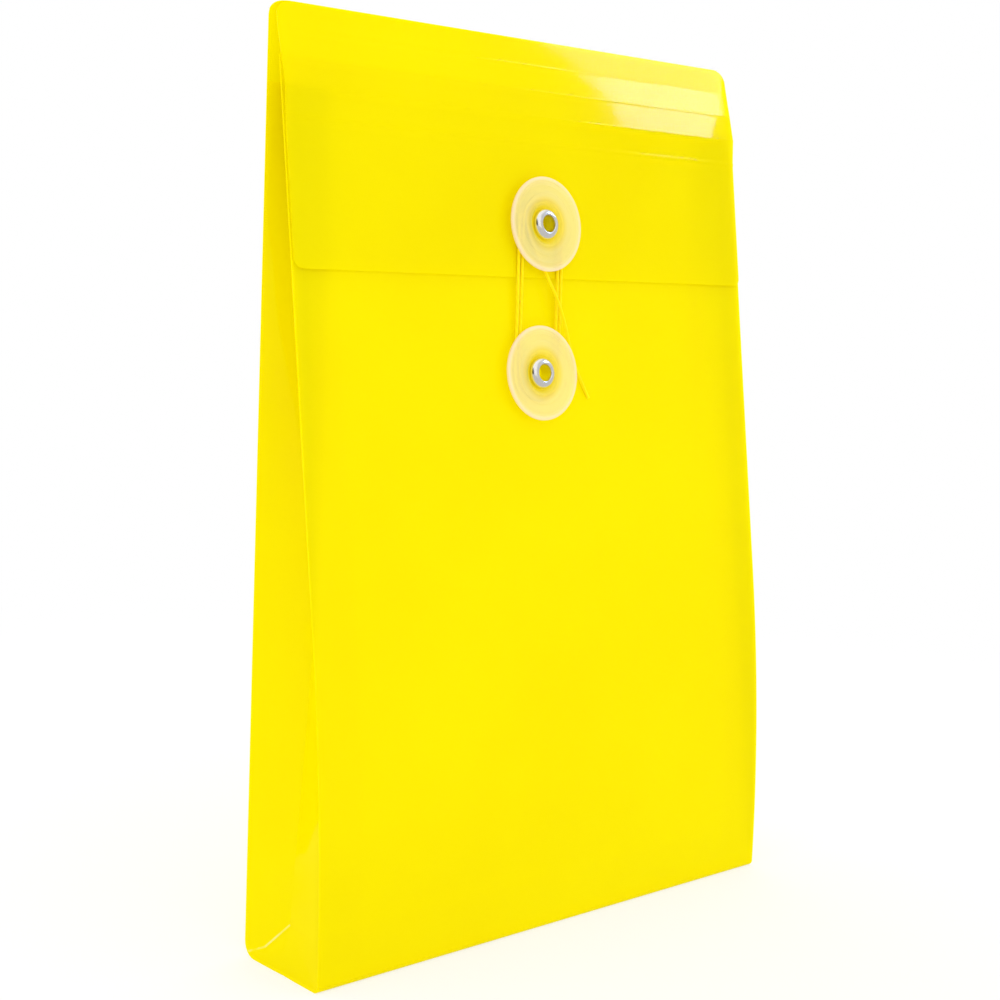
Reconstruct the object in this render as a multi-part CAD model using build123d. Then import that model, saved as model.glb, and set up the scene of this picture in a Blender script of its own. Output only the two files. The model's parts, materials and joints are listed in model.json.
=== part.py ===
from build123d import *

import math
import os

# The film envelope, standing on its bottom panel with its flap closed
width = 161.0  # across the face
height = 235.0  # rest face to the top of the fold
depth = 31.0  # bottom panel, front to back
film = 0.3  # polypropylene sheet
crease = 0.25  # bare length left each side of a crease line
layer_gap = 0.1  # air between film layers that lie on each other

# Front panel: a belly above the bottom fold, then a straight lean to its top edge
belly = 45.0  # height where the two straight directions would cross
mouth_drop = 13.0  # top edge of the front panel below the top of the fold
mouth_depth = 5.0  # face of the front panel ahead of the rear face, at its top edge
tab_width = 13.0  # welded tab behind each side of the front panel
tab_margin = 6.0  # bare front panel above and below a tab

# Scored spine and flap, from the top fold down the front
strip = 7.0  # spacing of the score lines
spine_leans = (17.0, 16.0, 15.0, 3.0)  # lean of each scored strip, in degrees
fold_turn = 80.0  # how far the rounded top fold turns before its crease, in degrees
flap_length = 35.7  # last score line to the lower edge
flap_clear = 0.75  # air between the flap and the front panel
flap_inset = 0.3  # flap narrower than the body, each side

# Side gussets: one strip each, folded inwards along its middle
gusset_levels = 7  # sections that shape the fold
corner_tuck = 12.0  # height at which the fold is fully formed above the bottom

# Buttons: a moulded disc on a hub, held by an eyelet
button_radius = 12.5
button_plate = 0.8
standoff = 1.8  # film to the underside of the disc, where the string runs
hub_radius = 5.2
rim_width = 1.2
rim_rise = 0.1  # crown of the rim above the middle of the disc
rim_chamfer = 0.2
ring_radius = 8.3  # moulded step on the face of the disc
ring_step = 0.15
recess_depth = 1.0  # sunk middle of the disc, where the eyelet's lip sits
recess_wall = 0.7  # hub left outside the floor of the recess
upper_button_up = 14.0  # flap edge up to the flap's button
lower_button_down = 25.2  # flap edge down to the body's button
lower_button_left = 3.4  # body's button off the middle, as the flap is folded
running = 0.06  # clearance of a disc on its eyelet

# Eyelets
eyelet_bore = 2.25  # radius
eyelet_wall = 0.35
eyelet_flange = 4.1  # radius of the rolled lip
lip_rise = 1.85  # lip above its seat
lip_round = 0.3  # tight round of the lip at the bore
lip_under = 0.45  # round of the lip where it turns under
clinch_radius = 3.6
clinch = 0.45

# String, wound round both hubs
cord = 0.8
turn_gap = 0.5  # air between neighbouring turns
hub_clear = 0.15  # air between the hub and the first turn
upper_rise = 1.0  # centre of the string above the flap
lower_rise = 0.8  # centre of the string above the front panel
knot_diameter = 1.3
knot_length = 2.2

arc_share = 0.45  # share of a run that the bend at its end takes up

# Free end of the string: right, up and out from the lower hub, in the plane of the winding
tail_route = (
    (1.0, 26.9, 0.35),
    (4.9, 19.6, 1.6),
    (8.1, 12.4, 1.6),
    (10.6, 8.1, 0.4),
    (13.9, 1.8, -0.2),
    (18.8, -5.2, -0.1),
)


def spot(ahead, up, right=0.0):
    """Point a distance ahead of the rear face."""
    return Vector(right, depth / 2 - ahead, up)


def across(edges, left, right):
    """Sheet with the given side profile, from left to right."""
    return Pos(left, 0, 0) * extrude(Face(Wire(edges)), amount=right - left, dir=(1, 0, 0))


def line_through(points):
    """Straight edges through points."""
    return [Edge.make_line(a, b) for a, b in zip(points, points[1:])]


def strip_sheet(top, bottom, left, right):
    """Flat strip between two creases, given on the middle of the film."""
    along = (bottom - top).normalized()
    half = along.cross(Vector(1, 0, 0)) * (film / 2)
    start = top + along * crease
    end = bottom - along * crease
    corners = [start + half, end + half, end - half, start - half, start + half]
    return across(line_through(corners), left, right)


# Front profile
mouth_up = height - mouth_drop
lean = math.atan2(depth - mouth_depth, mouth_up - belly)
belly_radius = belly / math.tan(lean / 2)
belly_run = belly_radius * lean
front_run = belly_run + (mouth_up - belly_radius * math.sin(lean)) / math.cos(lean)


def front_at(run, out=0.0):
    """Point at a length of film up the front panel, and out from its face."""
    turn = min(run, belly_run) / belly_radius
    rest = max(run - belly_run, 0.0)
    radius = belly_radius + out
    ahead = depth - belly_radius + radius * math.cos(turn) - rest * math.sin(turn)
    return spot(ahead, radius * math.sin(turn) + rest * math.cos(turn))


def front_ahead(up):
    """How far the front face stands ahead of the rear face at a height."""
    if up < belly_radius * math.sin(lean):
        return depth - belly_radius + math.sqrt(belly_radius**2 - up**2)
    return mouth_depth + (mouth_up - up) * math.tan(lean)


def front_sheet(low, high, out, left, right):
    """Sheet that follows the front panel from one run to another, its face out from it."""
    edges = []
    for face, ends in ((out, (low, high)), (out - film, (high, low))):
        bend = front_at(belly_run, face)
        middle = front_at((low + belly_run) / 2, face)
        curve = Edge.make_three_point_arc(front_at(low, face), middle, bend)
        straight = Edge.make_line(bend, front_at(high, face))
        edges += [curve, straight] if ends[0] == low else [straight, curve]
    for run in (low, high):
        edges.append(Edge.make_line(front_at(run, out), front_at(run, out - film)))
    return across(edges, left, right)


# Score lines on the middle of the film, from the top fold down to the flap
flap_middle = flap_clear + film / 2
spine_drop = sum(strip * math.cos(math.radians(angle)) for angle in spine_leans)
top_up = height - film / 2
flap_start = (belly_radius + flap_middle) * math.sin(lean)
flap_top_run = belly_run + (top_up - spine_drop - flap_start) / math.cos(lean)
scores = [front_at(flap_top_run, flap_middle)]
for angle in reversed(spine_leans):
    strip_up = Vector(0, math.sin(math.radians(angle)), math.cos(math.radians(angle))) * strip
    scores.insert(0, scores[0] + strip_up)
ridge = scores[0]
flap_edge_run = flap_top_run - flap_length
flap_edge = front_at(flap_edge_run, flap_middle)

# Rounded top fold, from the top of the back panel to the first crease
fold_angle = math.radians(fold_turn)
ridge_ahead = depth / 2 - ridge.Y
fold_radius = (ridge_ahead - film / 2) / (1 - math.cos(fold_angle))
fold_up = ridge.Z - fold_radius * math.sin(fold_angle)


def fold_at(angle, out):
    """Point round the top fold, out from the middle of its film."""
    radius = fold_radius + out
    ahead = film / 2 + fold_radius - radius * math.cos(angle)
    return spot(ahead, fold_up + radius * math.sin(angle))


fold_from = crease / fold_radius
fold_to = fold_angle - crease / fold_radius
fold_edges = []
for out in (film / 2, -film / 2):
    points = [fold_at(angle, out) for angle in (fold_from, (fold_from + fold_to) / 2, fold_to)]
    fold_edges.append(Edge.make_three_point_arc(*points))
for angle in (fold_from, fold_to):
    fold_edges.append(Edge.make_line(fold_at(angle, film / 2), fold_at(angle, -film / 2)))

half_width = width / 2
flap_half = half_width - flap_inset
parts = {}

# Back panel, bottom halves and top fold
back_corners = [
    spot(0, film),
    spot(0, fold_up - crease),
    spot(film, fold_up - crease),
    spot(film, film),
    spot(0, film),
]
parts["back_panel"] = across(line_through(back_corners), -half_width, half_width)
bottom_halves = {
    "bottom_rear_half": (0.0, depth / 2 - crease),
    "bottom_front_half": (depth / 2 + crease, depth),
}
for name, (rear, front) in bottom_halves.items():
    corners = [spot(rear, 0), spot(front, 0), spot(front, film), spot(rear, film), spot(rear, 0)]
    parts[name] = across(line_through(corners), -half_width, half_width)
parts["top_fold"] = across(fold_edges, -flap_half, flap_half)

# Scored spine strips and flap
for number, (top, bottom) in enumerate(zip(scores, scores[1:]), start=1):
    parts[f"spine_strip_{number}"] = strip_sheet(top, bottom, -flap_half, flap_half)
flap_beyond = flap_edge + (flap_edge - scores[-1]).normalized() * crease
parts["flap"] = strip_sheet(scores[-1], flap_beyond, -flap_half, flap_half)

# Front panel and the tabs welded behind it
front_low = film + layer_gap
parts["front_panel"] = front_sheet(front_low, front_run, 0.0, -half_width, half_width)
tab_out = -film - layer_gap
for side, left in (("left", -half_width), ("right", half_width - tab_width)):
    tab = front_sheet(tab_margin, front_run - tab_margin, tab_out, left, left + tab_width)
    parts[f"{side}_weld_tab"] = tab

# Side gussets, each a folded strip between the back panel and its weld tab
gusset_half = depth / 2
gusset_rear = film + layer_gap
gusset_top = mouth_up - tab_margin
gusset_edge = half_width - film


def gusset_section(up, formed):
    """Section through a left gusset, with its fold formed by a share from flat to full."""
    front = front_ahead(up) - 2 * film - 3 * layer_gap
    half = (front - gusset_rear) / 2
    middle = gusset_rear + half
    inward = formed * math.sqrt(gusset_half**2 - half**2)
    length = math.hypot(inward, half)
    side = film * half / length
    lap = film * inward / length
    points = [
        spot(gusset_rear, up, -gusset_edge),
        spot(middle, up, inward - gusset_edge),
        spot(front, up, -gusset_edge),
        spot(front - lap, up, -gusset_edge - side),
        spot(middle, up, inward - gusset_edge - film * length / half),
        spot(gusset_rear + lap, up, -gusset_edge - side),
    ]
    return Face(Wire.make_polygon(points, close=True))


gusset_low = film
level_rise = (gusset_top - corner_tuck) / (gusset_levels - 1)
sections = [gusset_section(gusset_low, 0.0)]
sections += [gusset_section(corner_tuck + level * level_rise, 1.0) for level in range(gusset_levels)]
left_gusset = loft(sections, ruled=True)
parts["left_gusset"] = left_gusset
parts["right_gusset"] = mirror(left_gusset, about=Plane.YZ)

# Buttons and eyelets, turned about the line square to the film
face_out = Vector(0, -math.cos(lean), math.sin(lean))
upper_run = flap_edge_run + upper_button_up
lower_run = flap_edge_run - lower_button_down
upper_seat = front_at(upper_run, flap_clear + film)
lower_seat = front_at(lower_run) - Vector(lower_button_left, 0, 0)
upper_plane = Plane(upper_seat, x_dir=(1, 0, 0), z_dir=face_out)
lower_plane = Plane(lower_seat, x_dir=(1, 0, 0), z_dir=face_out)
barrel = eyelet_bore + eyelet_wall
disc_bore = barrel + running
disc_top = standoff + button_plate
recess_up = disc_top - recess_depth
recess_floor = hub_radius - recess_wall
flange_seat = recess_up + running


def turned(edges):
    """Solid turned about Z from a closed profile of radius and height."""
    return revolve(Face(Wire(edges)), axis=Axis.Z)


def profile(points):
    """Profile points of radius and height as places in space."""
    return [Vector(radius, 0, up) for radius, up in points]


rim_middle = button_radius - rim_width / 2
rim_low = standoff + rim_chamfer
rim_side = disc_top - ring_step
hub_side = profile([
    (disc_bore, recess_up),
    (disc_bore, running),
    (hub_radius, running),
    (hub_radius, standoff),
    (button_radius - rim_chamfer, standoff),
    (button_radius, rim_low),
    (button_radius, rim_side),
])
disc_face = profile([
    (button_radius - rim_width, rim_side),
    (ring_radius + ring_step, rim_side),
    (ring_radius, disc_top),
    (recess_floor + recess_depth, disc_top),
    (recess_floor, recess_up),
    (disc_bore, recess_up),
])
rim_crown = Vector(rim_middle, 0, disc_top + rim_rise)
rim_arc = Edge.make_three_point_arc(hub_side[-1], rim_crown, disc_face[0])
disc = turned(line_through(hub_side) + [rim_arc] + line_through(disc_face))

eyelet_back = -film - clinch
lip_top = flange_seat + lip_rise
clinch_middle = (eyelet_bore + clinch_radius) / 2
slant = math.cos(math.pi / 4)
lip_in = Vector(eyelet_bore, 0, lip_top - lip_round)
lip_bend = Vector(eyelet_bore + lip_round * (1 - slant), 0, lip_top - lip_round * (1 - slant))
lip_crown = Vector(eyelet_bore + lip_round, 0, lip_top)
lip_out = Vector(eyelet_flange, 0, flange_seat + lip_under)
lip_turn = Vector(eyelet_flange - lip_under * (1 - slant), 0, flange_seat + lip_under * (1 - slant))
eyelet_side = profile([
    (eyelet_flange - lip_under, flange_seat),
    (barrel, flange_seat),
    (barrel, -film),
    (clinch_radius, -film),
])
clinch_low = Vector(clinch_middle, 0, eyelet_back)
bore_low = Vector(eyelet_bore, 0, -film)
eyelet = turned(
    [Edge.make_three_point_arc(lip_in, lip_bend, lip_crown)]
    + [Edge.make_tangent_arc(lip_crown, Vector(1, 0, 0), lip_out)]
    + [Edge.make_three_point_arc(lip_out, lip_turn, eyelet_side[0])]
    + line_through(eyelet_side)
    + [Edge.make_three_point_arc(eyelet_side[-1], clinch_low, bore_low)]
    + [Edge.make_line(bore_low, lip_in)]
)
film_hole = Pos(0, 0, -film / 2) * Cylinder(barrel + layer_gap, 2 * film)
for level, plane, carrier in (("upper", upper_plane, "flap"), ("lower", lower_plane, "front_panel")):
    parts[carrier] = parts[carrier] - plane.location * film_hole
    parts[f"{level}_disc"] = plane.location * disc
    parts[f"{level}_eyelet"] = plane.location * eyelet

# String: two turns round both hubs, from its knot under the flap's button to its free end
upper_hub = upper_seat + face_out * upper_rise
lower_hub = lower_seat + face_out * lower_rise
hub_spacing = (upper_hub - lower_hub).length
string_up = (upper_hub - lower_hub).normalized()
string_out = (face_out - string_up * face_out.dot(string_up)).normalized()
string_right = string_up.cross(string_out)


def on_string(right, up, out=0.0):
    """Point in the frame of the winding, from the lower hub."""
    return lower_hub + string_right * right + string_up * up + string_out * out


inner = hub_radius + hub_clear + cord / 2
pitch = cord + turn_gap
middle_turn = inner + pitch
outer = inner + 2 * pitch
tail_right, tail_up, tail_out = tail_route[0]
reach = math.hypot(tail_right, tail_up - hub_spacing)
swing = math.atan2(tail_up - hub_spacing, tail_right) - math.acos(inner / reach)
leave = (inner * math.cos(swing), hub_spacing + inner * math.sin(swing))
half_swing = (math.pi + swing + 2 * math.pi) / 2
ease = (inner * math.cos(half_swing), hub_spacing + inner * math.sin(half_swing))
centre = -pitch / 2


def half_turn(start, crown, end):
    """Half a turn round a hub."""
    return Edge.make_three_point_arc(on_string(*start), on_string(*crown), on_string(*end))


def string_run(start, end):
    """Straight length of string between the hubs."""
    return Edge.make_line(on_string(*start), on_string(*end))


winding_edges = [
    string_run((-outer, hub_spacing), (-outer, 0)),
    half_turn((-outer, 0), (centre, -(outer + middle_turn) / 2), (middle_turn, 0)),
    string_run((middle_turn, 0), (middle_turn, hub_spacing)),
    half_turn((middle_turn, hub_spacing), (0, hub_spacing + middle_turn), (-middle_turn, hub_spacing)),
    string_run((-middle_turn, hub_spacing), (-middle_turn, 0)),
    half_turn((-middle_turn, 0), (centre, -(middle_turn + inner) / 2), (inner, 0)),
    string_run((inner, 0), (inner, hub_spacing)),
    half_turn((inner, hub_spacing), (0, hub_spacing + inner), (-inner, hub_spacing)),
    half_turn((-inner, hub_spacing), ease, leave),
]
winding_path = Wire(winding_edges)


def tube(path):
    """Round string along a path."""
    start = Plane(path @ 0, z_dir=path % 0)
    return sweep(start * Circle(cord / 2), path=path)


parts["string_winding"] = tube(winding_path)

tail_points = [on_string(*leave)] + [on_string(*point) for point in tail_route]
tail_radii = []
for before, here, after in zip(tail_points, tail_points[1:], tail_points[2:]):
    bend = math.radians((here - before).get_angle(after - here))
    shorter = min((here - before).length, (after - here).length)
    tail_radii.append(arc_share * shorter / math.tan(bend / 2))
tail_path = FilletPolyline(*tail_points, radius=tail_radii).wire()
parts["string_tail"] = tube(tail_path)

knot_low = on_string(-outer, hub_spacing)
knot_plane = Plane(knot_low, x_dir=string_right, z_dir=string_up)
knot_body = Cylinder(knot_diameter / 2, knot_length, align=(Align.CENTER, Align.CENTER, Align.MIN))
knot_body = fillet(knot_body.edges().filter_by(GeomType.CIRCLE), knot_diameter / 4)
parts["string_knot"] = knot_plane.location * knot_body

os.makedirs("parts", exist_ok=True)
for name, solid in parts.items():
    solid.label = name
    export_step(solid, f"parts/{name}.step")

# What the string measures: radii, volume against length, and least gap to itself
samples = []
for edge in winding_edges:
    count = max(2, round(edge.length / cord * 2))
    samples += [edge @ (step / count) for step in range(count)]
step_length = winding_path.length / len(samples)
skip = math.ceil(3 * cord / step_length)
gaps = [(a - b).length - cord for i, a in enumerate(samples) for b in samples[i + skip:]]
cord_area = math.pi * cord**2 / 4
print("tail radii", [round(radius, 1) for radius in tail_radii])
print("winding least gap to itself", round(min(gaps), 3))
for name, path in (("string_winding", winding_path), ("string_tail", tail_path)):
    ratio = parts[name].volume / (cord_area * path.length)
    print(name, "length", round(path.length, 2), "volume ratio", round(ratio, 4))
print("lean", round(math.degrees(lean), 3))
print("fold radius", round(fold_radius, 3), "fold up", round(fold_up, 3))
for number, point in enumerate(scores):
    print("score", number, [round(value, 4) for value in point])
for label, point in (("upper seat", upper_seat), ("lower seat", lower_seat), ("flap edge", flap_edge)):
    print(label, [round(value, 4) for value in point])
print("hub spacing", round(hub_spacing, 3), "lower hub", [round(value, 4) for value in lower_hub])
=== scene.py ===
import json
import math

import bmesh
import bpy
from mathutils import Matrix, Vector


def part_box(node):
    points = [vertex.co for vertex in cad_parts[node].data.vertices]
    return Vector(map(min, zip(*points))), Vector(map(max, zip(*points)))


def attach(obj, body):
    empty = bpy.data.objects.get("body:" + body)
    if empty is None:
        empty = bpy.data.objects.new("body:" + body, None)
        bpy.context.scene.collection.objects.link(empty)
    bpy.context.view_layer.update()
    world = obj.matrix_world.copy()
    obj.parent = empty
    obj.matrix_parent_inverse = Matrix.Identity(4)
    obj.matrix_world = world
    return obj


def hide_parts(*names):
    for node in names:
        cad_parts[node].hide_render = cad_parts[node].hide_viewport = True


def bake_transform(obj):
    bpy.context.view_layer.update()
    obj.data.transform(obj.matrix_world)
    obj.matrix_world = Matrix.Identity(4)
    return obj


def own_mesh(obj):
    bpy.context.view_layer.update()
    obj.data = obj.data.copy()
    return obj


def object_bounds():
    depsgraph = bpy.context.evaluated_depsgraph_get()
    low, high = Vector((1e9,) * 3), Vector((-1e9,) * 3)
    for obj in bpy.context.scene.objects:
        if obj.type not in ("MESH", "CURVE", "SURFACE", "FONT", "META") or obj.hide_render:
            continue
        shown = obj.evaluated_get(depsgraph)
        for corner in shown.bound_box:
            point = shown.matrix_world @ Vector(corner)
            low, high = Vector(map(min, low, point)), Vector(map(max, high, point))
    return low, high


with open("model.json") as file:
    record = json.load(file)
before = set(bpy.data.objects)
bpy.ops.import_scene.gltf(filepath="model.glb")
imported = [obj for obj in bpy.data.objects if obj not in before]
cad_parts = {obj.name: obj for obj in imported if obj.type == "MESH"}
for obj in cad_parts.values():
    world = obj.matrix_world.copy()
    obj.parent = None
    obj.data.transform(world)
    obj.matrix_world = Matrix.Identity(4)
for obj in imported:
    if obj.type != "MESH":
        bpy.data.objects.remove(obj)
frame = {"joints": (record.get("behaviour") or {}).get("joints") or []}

cad_low, cad_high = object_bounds()

# Back of the envelope: the large flat area of the one sheet of film that makes the whole body.
# Translucent yellow polypropylene, extruded and rolled smooth, die-cut and then creased at each fold.
# Here it runs from the bend at the bottom up to the crease under the top fold.
mm = 0.001
film = 0.3 * mm
same_place = 0.01 * mm
rear_bend = 4.0 * mm
sheet_columns = 20
back_rows = 12
half_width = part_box("back_panel")[1].x
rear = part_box("back_panel")[1].y - film / 2
joints = {joint["name"]: joint for joint in frame["joints"]}
top_crease = Vector(joints["top_crease"]["pos_m"])
ridge = Vector(joints["flap_fold"]["pos_m"])
fold_turn = math.radians(80)
fold_radius = (top_crease.y - ridge.y) / (1 - math.cos(fold_turn))
top_arc = fold_radius * fold_turn
rear_corner = 4.4 * mm
corner_run = rear_corner - top_arc
corner_rows = 4


def linear(code, alpha=1.0):
    """Linear colour of an sRGB hex value."""
    shares = [int(code[at:at + 2], 16) / 255 for at in (1, 3, 5)]
    return [s / 12.92 if s <= 0.04045 else ((s + 0.055) / 1.055) ** 2.4 for s in shares] + [alpha]


def add(tree, kind, inputs=None, **settings):
    """Adds a shader node: settings are its properties, inputs its values or the sockets that feed it."""
    made = tree.nodes.new("ShaderNode" + kind)
    for name, value in settings.items():
        setattr(made, name, value)
    for name, value in (inputs or {}).items():
        if isinstance(value, bpy.types.NodeSocket):
            tree.links.new(value, made.inputs[name])
        else:
            made.inputs[name].default_value = value
    return made


def start_line(name, at):
    """A new mesh of one point, left in edit mode to be drawn on."""
    bpy.ops.object.select_all(action="DESELECT")
    bpy.ops.mesh.primitive_plane_add(size=mm, location=at)
    bpy.context.object.name = name
    bpy.context.object.data.name = name
    bpy.ops.object.transform_apply(location=True, rotation=True, scale=True)
    bpy.ops.object.mode_set(mode="EDIT")
    bpy.ops.mesh.select_all(action="SELECT")
    bpy.ops.mesh.merge(type="CENTER")
    return bpy.context.object


def draw_through(points):
    """Draws a line from the selected point, the first of these, through the others."""
    for here, after in zip(points, points[1:]):
        bpy.ops.mesh.extrude_region_move(TRANSFORM_OT_translate={"value": after - here})
    bpy.ops.mesh.select_all(action="SELECT")


def pull_across(widths):
    """Pulls the drawn line sideways into a sheet, column by column."""
    for width in widths:
        bpy.ops.mesh.extrude_region_move(TRANSFORM_OT_translate={"value": (width, 0, 0)})
    bpy.ops.object.mode_set(mode="OBJECT")


def corner_inset(radius, run):
    """How far a corner of this radius draws a sheet's edge in, at a run from the sheet's end."""
    rest = max(radius - run, 0.0)
    return radius - math.sqrt(radius**2 - rest**2)


def narrow_row(piece, place, share):
    """Narrows one row of a sheet, given by a point of it, to a share of its width."""
    bpy.ops.object.mode_set(mode="EDIT")
    bpy.ops.mesh.select_all(action="DESELECT")
    mesh = bmesh.from_edit_mesh(piece.data)
    for point in mesh.verts:
        point.select = math.hypot(point.co.y - place[0], point.co.z - place[1]) < same_place
    mesh.select_flush_mode()
    bmesh.update_edit_mesh(piece.data)
    bpy.ops.transform.resize(value=(share, 1, 1), center_override=(0, 0, 0))
    bpy.ops.object.mode_set(mode="OBJECT")


def thicken(piece, materials, angle=30, even=True):
    """Gives a sheet its film thickness, with the cut edge in the second material."""
    for material in materials:
        piece.data.materials.append(material)
    wall = piece.modifiers.new("film", "SOLIDIFY")
    wall.thickness = film
    wall.offset = 0
    wall.use_even_offset = even
    wall.material_offset_rim = 1
    bpy.ops.object.modifier_apply(modifier=wall.name)
    bpy.ops.object.shade_smooth_by_angle(angle=math.radians(angle))


def sheet_line(name, profile, left):
    """The left edge of a film panel, drawn along its side profile, the middle of its thickness."""
    points = [Vector((left, ahead, up)) for ahead, up in profile]
    piece = start_line(name, points[0])
    draw_through(points)
    return piece


def let_through(tree, colour, clear):
    """Lets a share of the light pass a wall, tinted once, as it enters and not again as it leaves."""
    leaving = add(tree, "NewGeometry").outputs["Backfacing"]
    share = add(tree, "Mix", {"Factor": leaving, "A": clear, "B": 1.0})
    tinted = add(tree, "Mix", {"Factor": leaving, "A": colour, "B": linear("#ffffff")}, data_type="RGBA")
    passed = add(tree, "BsdfTransparent", {"Color": tinted.outputs["Result"]})
    mixed = add(tree, "MixShader", {
        "Fac": share.outputs["Result"],
        1: tree.nodes["Principled BSDF"].outputs["BSDF"],
        2: passed.outputs["BSDF"],
    })
    tree.links.new(mixed.outputs["Shader"], tree.nodes["Material Output"].inputs["Surface"])


def film_material(name, tint_low, tint_high, clear, drift=45 * mm):
    """Polypropylene film: a deep translucent colour under a smooth rolled skin that mirrors lamps sharply.
    Slow drifts of the colour show where the sheet is thicker, and its skin waves a little. The fine grain is
    drawn coarser than the real one, so that it shows."""
    wave = 70 * mm
    wave_height = 0.12 * mm
    grain = 0.6 * mm
    grain_height = 0.01 * mm
    material = bpy.data.materials.new(name)
    material.use_nodes = True
    tree = material.node_tree
    shader = tree.nodes["Principled BSDF"]
    place = add(tree, "TexCoord").outputs["Object"]
    cloud = add(tree, "TexNoise", {"Vector": place, "Scale": 1 / drift, "Detail": 3.0})
    tint = add(tree, "ValToRGB", {"Fac": cloud.outputs["Fac"]})
    tint.color_ramp.elements[0].position = 0.35
    tint.color_ramp.elements[0].color = linear(tint_low)
    tint.color_ramp.elements[1].position = 0.65
    tint.color_ramp.elements[1].color = linear(tint_high)
    swell = add(tree, "TexNoise", {"Vector": place, "Scale": 1 / wave, "Detail": 1.0})
    fine = add(tree, "TexNoise", {"Vector": place, "Scale": 1 / grain, "Detail": 1.0})
    waves = add(tree, "Bump", {"Height": swell.outputs["Fac"], "Strength": 1.0, "Distance": wave_height})
    skin = add(tree, "Bump", {
        "Height": fine.outputs["Fac"],
        "Strength": 0.15,
        "Distance": grain_height,
        "Normal": waves.outputs["Normal"],
    })
    tree.links.new(tint.outputs["Color"], shader.inputs["Base Color"])
    tree.links.new(skin.outputs["Normal"], shader.inputs["Normal"])
    tree.links.new(waves.outputs["Normal"], shader.inputs["Coat Normal"])
    shader.inputs["Roughness"].default_value = 0.5
    shader.inputs["Specular IOR Level"].default_value = 0.0
    shader.inputs["Coat Weight"].default_value = 0.15
    shader.inputs["Coat Roughness"].default_value = 0.05
    shader.inputs["Coat IOR"].default_value = 1.49
    let_through(tree, linear("#fffa00"), clear)
    return material


panel_film = film_material("polypropylene_film_rolled", "#fdec00", "#fff000", 0.3)
edge_film = film_material("polypropylene_film_die_cut", "#fde800", "#ffec00", 0.3)
film_finish = (panel_film, edge_film)

back_low = cad_low.z + rear_bend
back_high = top_crease.z - corner_run
back_step = (back_high - back_low) / back_rows
back_profile = [(rear, back_low + back_step * row) for row in range(back_rows + 1)]
back_profile += [(rear, back_high + corner_run * row / corner_rows) for row in range(1, corner_rows + 1)]
back_film = sheet_line("back_film", back_profile, -half_width)
pull_across([2 * half_width / sheet_columns] * sheet_columns)
for place in back_profile[-corner_rows:]:
    inset = corner_inset(rear_corner, top_arc + top_crease.z - place[1])
    narrow_row(back_film, place, 1 - inset / half_width)
thicken(back_film, film_finish)
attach(back_film, "back")
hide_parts("back_panel")

# Bottom of the envelope: a band of the same film with a bend at its rear and front edges.
# A crease along its middle lets it fold up into the body when the envelope is pressed flat.
front_bend = 1.5 * mm
bend_steps = 6
bottom_rows = 6
bottom_crease = 0.15 * mm
crease_sharpness = 4
front_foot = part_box("front_panel")[0].y + film / 2
floor_film = cad_low.z + film / 2
collapse = math.radians(-min(joints["gusset_fold"]["range_deg"]))
pivot = Vector(joints["gusset_fold"]["pos_m"])
foot_arm = Vector((front_foot - pivot.y, cad_low.z + front_bend - pivot.z))
foot_collapsed = pivot.y + foot_arm.x * math.cos(collapse) - foot_arm.y * math.sin(collapse)
outer_rear = rear + film / 2
flat_share = (outer_rear - foot_collapsed) / (outer_rear - front_foot)


def film_sheet(name, profile, left, right):
    """A plain film panel with this side profile, from left to right."""
    piece = sheet_line(name, profile, left)
    pull_across([(right - left) / sheet_columns] * sheet_columns)
    thicken(piece, film_finish)
    return piece


def bend_points(edge, inward, bend, turn_from, turn_to):
    """Points round a fold of the bottom: the film's edge, the way in from it and the size of the bend."""
    radius = bend - film / 2
    middle = edge + math.copysign(radius, inward)
    up = cad_low.z + bend
    turns = [turn_from + (turn_to - turn_from) * step / bend_steps for step in range(bend_steps + 1)]
    return [(middle + radius * math.cos(turn), up + radius * math.sin(turn)) for turn in turns]


rear_fold = bend_points(rear, -1, rear_bend, 0.0, -math.pi / 2)
front_fold = bend_points(front_foot, 1, front_bend, -math.pi / 2, -math.pi)
bottom_from = rear_fold[-1][0]
bottom_to = front_fold[0][0]
bottom_profile = list(rear_fold)
for row in range(1, bottom_rows):
    share = row / bottom_rows
    lift = bottom_crease * (1 - abs(2 * share - 1)) ** crease_sharpness
    bottom_profile.append((bottom_from + (bottom_to - bottom_from) * share, floor_film + lift))
bottom_profile += front_fold
bottom_film = film_sheet("bottom_film", bottom_profile, -half_width, half_width)
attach(bottom_film, "back")
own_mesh(bottom_film)
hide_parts("bottom_rear_half", "bottom_front_half")

# Front of the envelope: film that bellies out above the bottom bend and then leans back to the mouth.
# A hole punched near its middle takes the rivet of the lower button.
belly = 45 * mm
mouth_depth = 5.0 * mm
belly_rows = 14
lean_rows = 12
hole_radius = 2.7 * mm
hole_steps = 64
punch_depth = 20 * film
mouth_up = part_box("front_panel")[1].z
depth = cad_high.y - cad_low.y
lean = math.atan2(depth - mouth_depth, mouth_up - belly)
belly_radius = belly / math.tan(lean / 2)
belly_run = belly_radius * lean
front_run = belly_run + (mouth_up - belly_radius * math.sin(lean)) / math.cos(lean)
face_out = Vector(joints["lower_disc_spin"]["axis"])
lower_seat = Vector(joints["lower_disc_spin"]["pos_m"])
upper_seat = Vector(joints["upper_disc_spin"]["pos_m"])


def front_at(run, out):
    """Place in the side view at a length of film up the front, and out from its face."""
    turn = min(run, belly_run) / belly_radius
    rest = max(run - belly_run, 0.0)
    radius = belly_radius + out
    ahead = depth - belly_radius + radius * math.cos(turn) - rest * math.sin(turn)
    return outer_rear - ahead, radius * math.sin(turn) + rest * math.cos(turn)


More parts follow.
